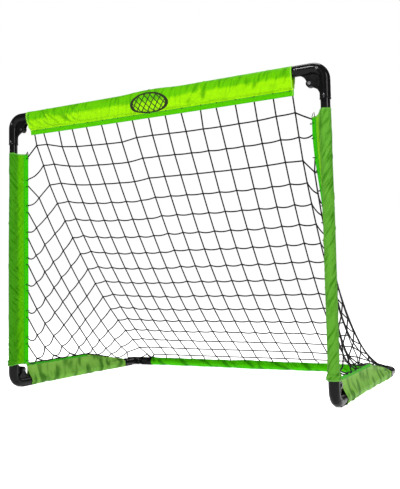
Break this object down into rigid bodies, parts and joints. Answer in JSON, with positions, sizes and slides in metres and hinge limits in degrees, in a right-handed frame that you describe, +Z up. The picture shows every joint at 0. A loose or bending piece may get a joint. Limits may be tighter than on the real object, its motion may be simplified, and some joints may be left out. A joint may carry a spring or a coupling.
{
  "type": "folding sports goal",
  "caption": "Portable folding sports goal: round tube frame with hinged corner fittings, folding U-shaped base, fabric sleeves and a square-mesh net.",
  "frame": {"origin": "on the ground, under the middle of the bounding box", "axes": "+X along the crossbar, +Y from the mouth into the goal, +Z up; the mouth faces -Y"},
  "size_m": [0.934, 0.6526, 0.77],
  "materials": {
    "black_plastic": "moulded, glossy",
    "black_tube": "gloss powder coat",
    "dark_steel": "black oxide",
    "green_fabric": "thin woven nylon, slight sheen",
    "black_net": "knotted cord, matte"
  },
  "bodies": {
    "post_left": {"top_left_elbow_tongue": "black_plastic", "top_left_tongue_rivet": "dark_steel", "top_left_hinge_pin": "dark_steel", "base_left_elbow_tongue": "black_plastic", "base_left_tongue_rivet": "dark_steel", "base_left_hinge_pin": "dark_steel", "post_tube_left": "black_tube", "post_sleeve_left": "green_fabric", "side_net_left": "black_net"},
    "crossbar_left": {"top_left_elbow_fork": "black_plastic", "top_left_fork_rivet": "dark_steel", "crossbar_tube_left": "black_tube", "crossbar_sleeve_left": "green_fabric", "crossbar_hinge_tongue": "black_plastic"},
    "crossbar_right": {"top_right_elbow_tongue": "black_plastic", "top_right_tongue_rivet": "dark_steel", "top_right_hinge_pin": "dark_steel", "crossbar_tube_right": "black_tube", "crossbar_sleeve_right": "green_fabric", "crossbar_hinge_fork": "black_plastic"},
    "post_right": {"top_right_elbow_fork": "black_plastic", "top_right_fork_rivet": "dark_steel", "base_right_elbow_fork": "black_plastic", "base_right_fork_rivet": "dark_steel", "post_tube_right": "black_tube", "post_sleeve_right": "green_fabric", "side_net_right": "black_net"},
    "side_left": {"base_left_elbow_fork": "black_plastic", "base_left_fork_rivet": "dark_steel", "rear_left_elbow_tongue": "black_plastic", "rear_left_tongue_rivet": "dark_steel", "rear_left_hinge_pin": "dark_steel", "side_tube_left": "black_tube", "side_sleeve_left": "green_fabric"},
    "side_right": {"base_right_elbow_tongue": "black_plastic", "base_right_tongue_rivet": "dark_steel", "base_right_hinge_pin": "dark_steel", "rear_right_elbow_fork": "black_plastic", "rear_right_fork_rivet": "dark_steel", "side_tube_right": "black_tube", "side_sleeve_right": "green_fabric"},
    "rear_left": {"rear_left_elbow_fork": "black_plastic", "rear_left_fork_rivet": "dark_steel", "rear_tube_left": "black_tube", "rear_sleeve_left": "green_fabric", "rear_hinge_tongue": "black_plastic"},
    "rear_right": {"rear_right_elbow_tongue": "black_plastic", "rear_right_tongue_rivet": "dark_steel", "rear_right_hinge_pin": "dark_steel", "rear_tube_right": "black_tube", "rear_sleeve_right": "green_fabric", "rear_hinge_fork": "black_plastic"},
    "net_upper": {"back_net_upper": "black_net"},
    "net_lower": {"back_net_lower": "black_net"},
    "lock_top_left": {"top_left_lock_button": "dark_steel"},
    "lock_top_right": {"top_right_lock_button": "dark_steel"},
    "lock_base_left": {"base_left_lock_button": "dark_steel"},
    "lock_base_right": {"base_right_lock_button": "dark_steel"},
    "lock_rear_left": {"rear_left_lock_button": "dark_steel"},
    "lock_rear_right": {"rear_right_lock_button": "dark_steel"}
  },
  "joints": [
    {"name": "top_left_fold", "type": "hinge", "parent": "post_left", "child": "crossbar_left", "pos_m": [-0.419, -0.3123, 0.7194], "axis": [0, 1, 0], "range_deg": [0, 90], "deforming": ["back_net_upper"]},
    {"name": "crossbar_middle_fold", "type": "hinge", "parent": "crossbar_left", "child": "crossbar_right", "pos_m": [0, -0.3123, 0.7666], "axis": [0, -1, 0], "range_deg": [0, 180]},
    {"name": "top_right_fold", "type": "hinge", "parent": "crossbar_right", "child": "post_right", "pos_m": [0.419, -0.3123, 0.7194], "axis": [0, 1, 0], "range_deg": [0, 90]},
    {"name": "rear_left_fold", "type": "hinge", "parent": "side_left", "child": "rear_left", "pos_m": [-0.419, 0.2757, 0.0134], "axis": [0, 0, -1], "range_deg": [0, 90], "deforming": ["back_net_lower"]},
    {"name": "rear_middle_fold", "type": "hinge", "parent": "rear_left", "child": "rear_right", "pos_m": [0, 0.3229, 0.0134], "axis": [0, 0, 1], "range_deg": [0, 180]},
    {"name": "base_left_fold", "type": "hinge", "parent": "post_left", "child": "side_left", "pos_m": [-0.453, -0.2783, 0.0474], "axis": [1, 0, 0], "range_deg": [0, 90], "deforming": ["side_net_left"]},
    {"name": "base_right_fold", "type": "hinge", "parent": "post_right", "child": "side_right", "pos_m": [0.453, -0.2783, 0.0474], "axis": [1, 0, 0], "range_deg": [0, 90], "deforming": ["side_net_right"]},
    {"name": "net_upper_fold", "type": "hinge", "parent": "post_left", "child": "net_upper", "pos_m": [0, -0.3123, 0.6994], "axis": [-1, 0, 0], "range_deg": [0, 42]},
    {"name": "net_lower_fold", "type": "hinge", "parent": "side_left", "child": "net_lower", "pos_m": [0, 0.3097, 0.0259], "axis": [1, 0, 0], "range_deg": [0, 43]},
    {"name": "top_left_lock_press", "type": "slide", "parent": "post_left", "child": "lock_top_left", "axis": [0, 1, 0], "range_m": [0, 0.003], "stiffness_N_per_m": 300, "springref_m": -0.003},
    {"name": "top_right_lock_press", "type": "slide", "parent": "crossbar_right", "child": "lock_top_right", "axis": [0, 1, 0], "range_m": [0, 0.003], "stiffness_N_per_m": 300, "springref_m": -0.003},
    {"name": "base_left_lock_press", "type": "slide", "parent": "post_left", "child": "lock_base_left", "axis": [1, 0, 0], "range_m": [0, 0.003], "stiffness_N_per_m": 300, "springref_m": -0.003},
    {"name": "base_right_lock_press", "type": "slide", "parent": "side_right", "child": "lock_base_right", "axis": [-1, 0, 0], "range_m": [0, 0.003], "stiffness_N_per_m": 300, "springref_m": -0.003},
    {"name": "rear_left_lock_press", "type": "slide", "parent": "side_left", "child": "lock_rear_left", "axis": [0, 0, -1], "range_m": [0, 0.003], "stiffness_N_per_m": 300, "springref_m": -0.003},
    {"name": "rear_right_lock_press", "type": "slide", "parent": "rear_right", "child": "lock_rear_right", "axis": [0, 0, -1], "range_m": [0, 0.003], "stiffness_N_per_m": 300, "springref_m": -0.003}
  ],
  "couplings": [
    {"joint": "crossbar_middle_fold", "follows": "top_left_fold", "ratio": 2},
    {"joint": "top_right_fold", "follows": "top_left_fold", "ratio": 1},
    {"joint": "rear_left_fold", "follows": "top_left_fold", "ratio": 1},
    {"joint": "rear_middle_fold", "follows": "top_left_fold", "ratio": 2},
    {"joint": "base_right_fold", "follows": "base_left_fold", "ratio": 1},
    {"joint": "net_upper_fold", "follows": "base_left_fold", "ratio": 0.4541},
    {"joint": "net_lower_fold", "follows": "base_left_fold", "ratio": 0.4661}
  ]
}
